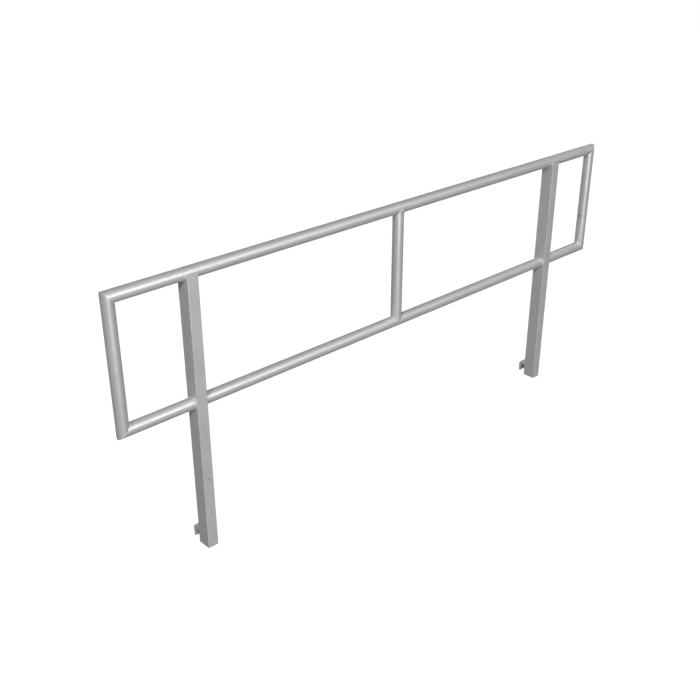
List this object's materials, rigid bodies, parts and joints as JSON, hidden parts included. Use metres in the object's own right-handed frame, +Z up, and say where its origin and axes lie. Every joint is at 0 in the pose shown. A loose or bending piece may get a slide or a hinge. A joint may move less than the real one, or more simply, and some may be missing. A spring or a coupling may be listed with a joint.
{
  "type": "crowd control barrier",
  "caption": "Drop-on deck edge barrier: a welded rectangle of round aluminium tube with a centre upright, on rectangular posts with a hook behind each foot.",
  "frame": {"origin": "on the level of the posts' feet, in the middle of the whole barrier's length and depth; the rails' plane is 14.5 mm in front of it, at Y = -0.0145", "axes": "+X along the rails to the right-hand end, +Y from the barrier back over the deck that it hooks on to, +Z up"},
  "size_m": [2.44, 0.0857, 1.04],
  "materials": {
    "round_tube": "satin drawn tube",
    "post": "satin extruded, matt",
    "hook_angle": "satin extruded, sawn ends",
    "sleeve": "mill finish",
    "weld_metal": "rippled bead, dressed flush at the corners",
    "rivet": "satin",
    "plug_plastic": "moulded, matt"
  },
  "bodies": {
    "root": {"bottom_left_corner_weld": "weld_metal", "bottom_rail_centre": "round_tube", "bottom_rail_left": "round_tube", "bottom_rail_right": "round_tube", "bottom_right_corner_weld": "weld_metal", "centre_upright": "round_tube", "centre_upright_bottom_weld": "weld_metal", "centre_upright_top_weld": "weld_metal", "left_end_upright": "round_tube", "left_foot_plug": "plug_plastic", "left_hook": "hook_angle", "left_hook_weld": "weld_metal", "left_post": "post", "left_post_inner_rail_weld": "weld_metal", "left_post_outer_rail_weld": "weld_metal", "left_post_rivets": "rivet", "left_post_sleeve": "sleeve", "left_post_top_weld": "weld_metal", "right_end_upright": "round_tube", "right_foot_plug": "plug_plastic", "right_hook": "hook_angle", "right_hook_weld": "weld_metal", "right_post": "post", "right_post_inner_rail_weld": "weld_metal", "right_post_outer_rail_weld": "weld_metal", "right_post_rivets": "rivet", "right_post_sleeve": "sleeve", "right_post_top_weld": "weld_metal", "top_left_corner_weld": "weld_metal", "top_rail": "round_tube", "top_right_corner_weld": "weld_metal"}
  },
  "joints": []
}
